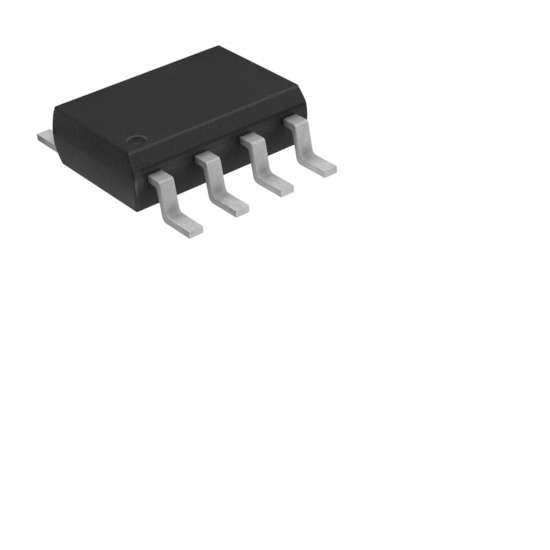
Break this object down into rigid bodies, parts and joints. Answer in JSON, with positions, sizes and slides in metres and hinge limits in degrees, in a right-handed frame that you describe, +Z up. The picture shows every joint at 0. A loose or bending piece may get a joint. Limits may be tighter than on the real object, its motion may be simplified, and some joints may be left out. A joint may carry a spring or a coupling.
{
  "type": "gate driver chip",
  "caption": "Small surface-mount chip: a moulded black body with gull-wing leads along two sides, a pin 1 dish and an exposed heat pad below.",
  "frame": {"origin": "centre of the footprint, on the plane of the leads' soles", "axes": "+Z up from the board; X along the moulding, with pins 1 and 8 at -X; Y across the two rows, with pins 1 to 4 at -Y"},
  "size_m": [0.005, 0.0062, 0.0016],
  "materials": {
    "mold_compound": "fine matte moulded epoxy, charcoal",
    "lead_tin": "matte tin plate",
    "pad_tin": "matte tin plate, fine grain",
    "silver_epoxy": "cured silver-filled adhesive",
    "silicon": "polished silicon",
    "gold_wire": "bright drawn gold wire"
  },
  "bodies": {
    "root": {"mold_body": "mold_compound", "lead_1": "lead_tin", "lead_2": "lead_tin", "lead_3": "lead_tin", "lead_4": "lead_tin", "lead_5": "lead_tin", "lead_6": "lead_tin", "lead_7": "lead_tin", "lead_8": "lead_tin", "die_paddle": "pad_tin", "die_attach": "silver_epoxy", "silicon_die": "silicon", "bond_wire_1": "gold_wire", "bond_wire_2": "gold_wire", "bond_wire_3": "gold_wire", "bond_wire_4": "gold_wire", "bond_wire_5": "gold_wire", "bond_wire_6": "gold_wire", "bond_wire_7": "gold_wire", "bond_wire_8": "gold_wire"}
  },
  "joints": []
}
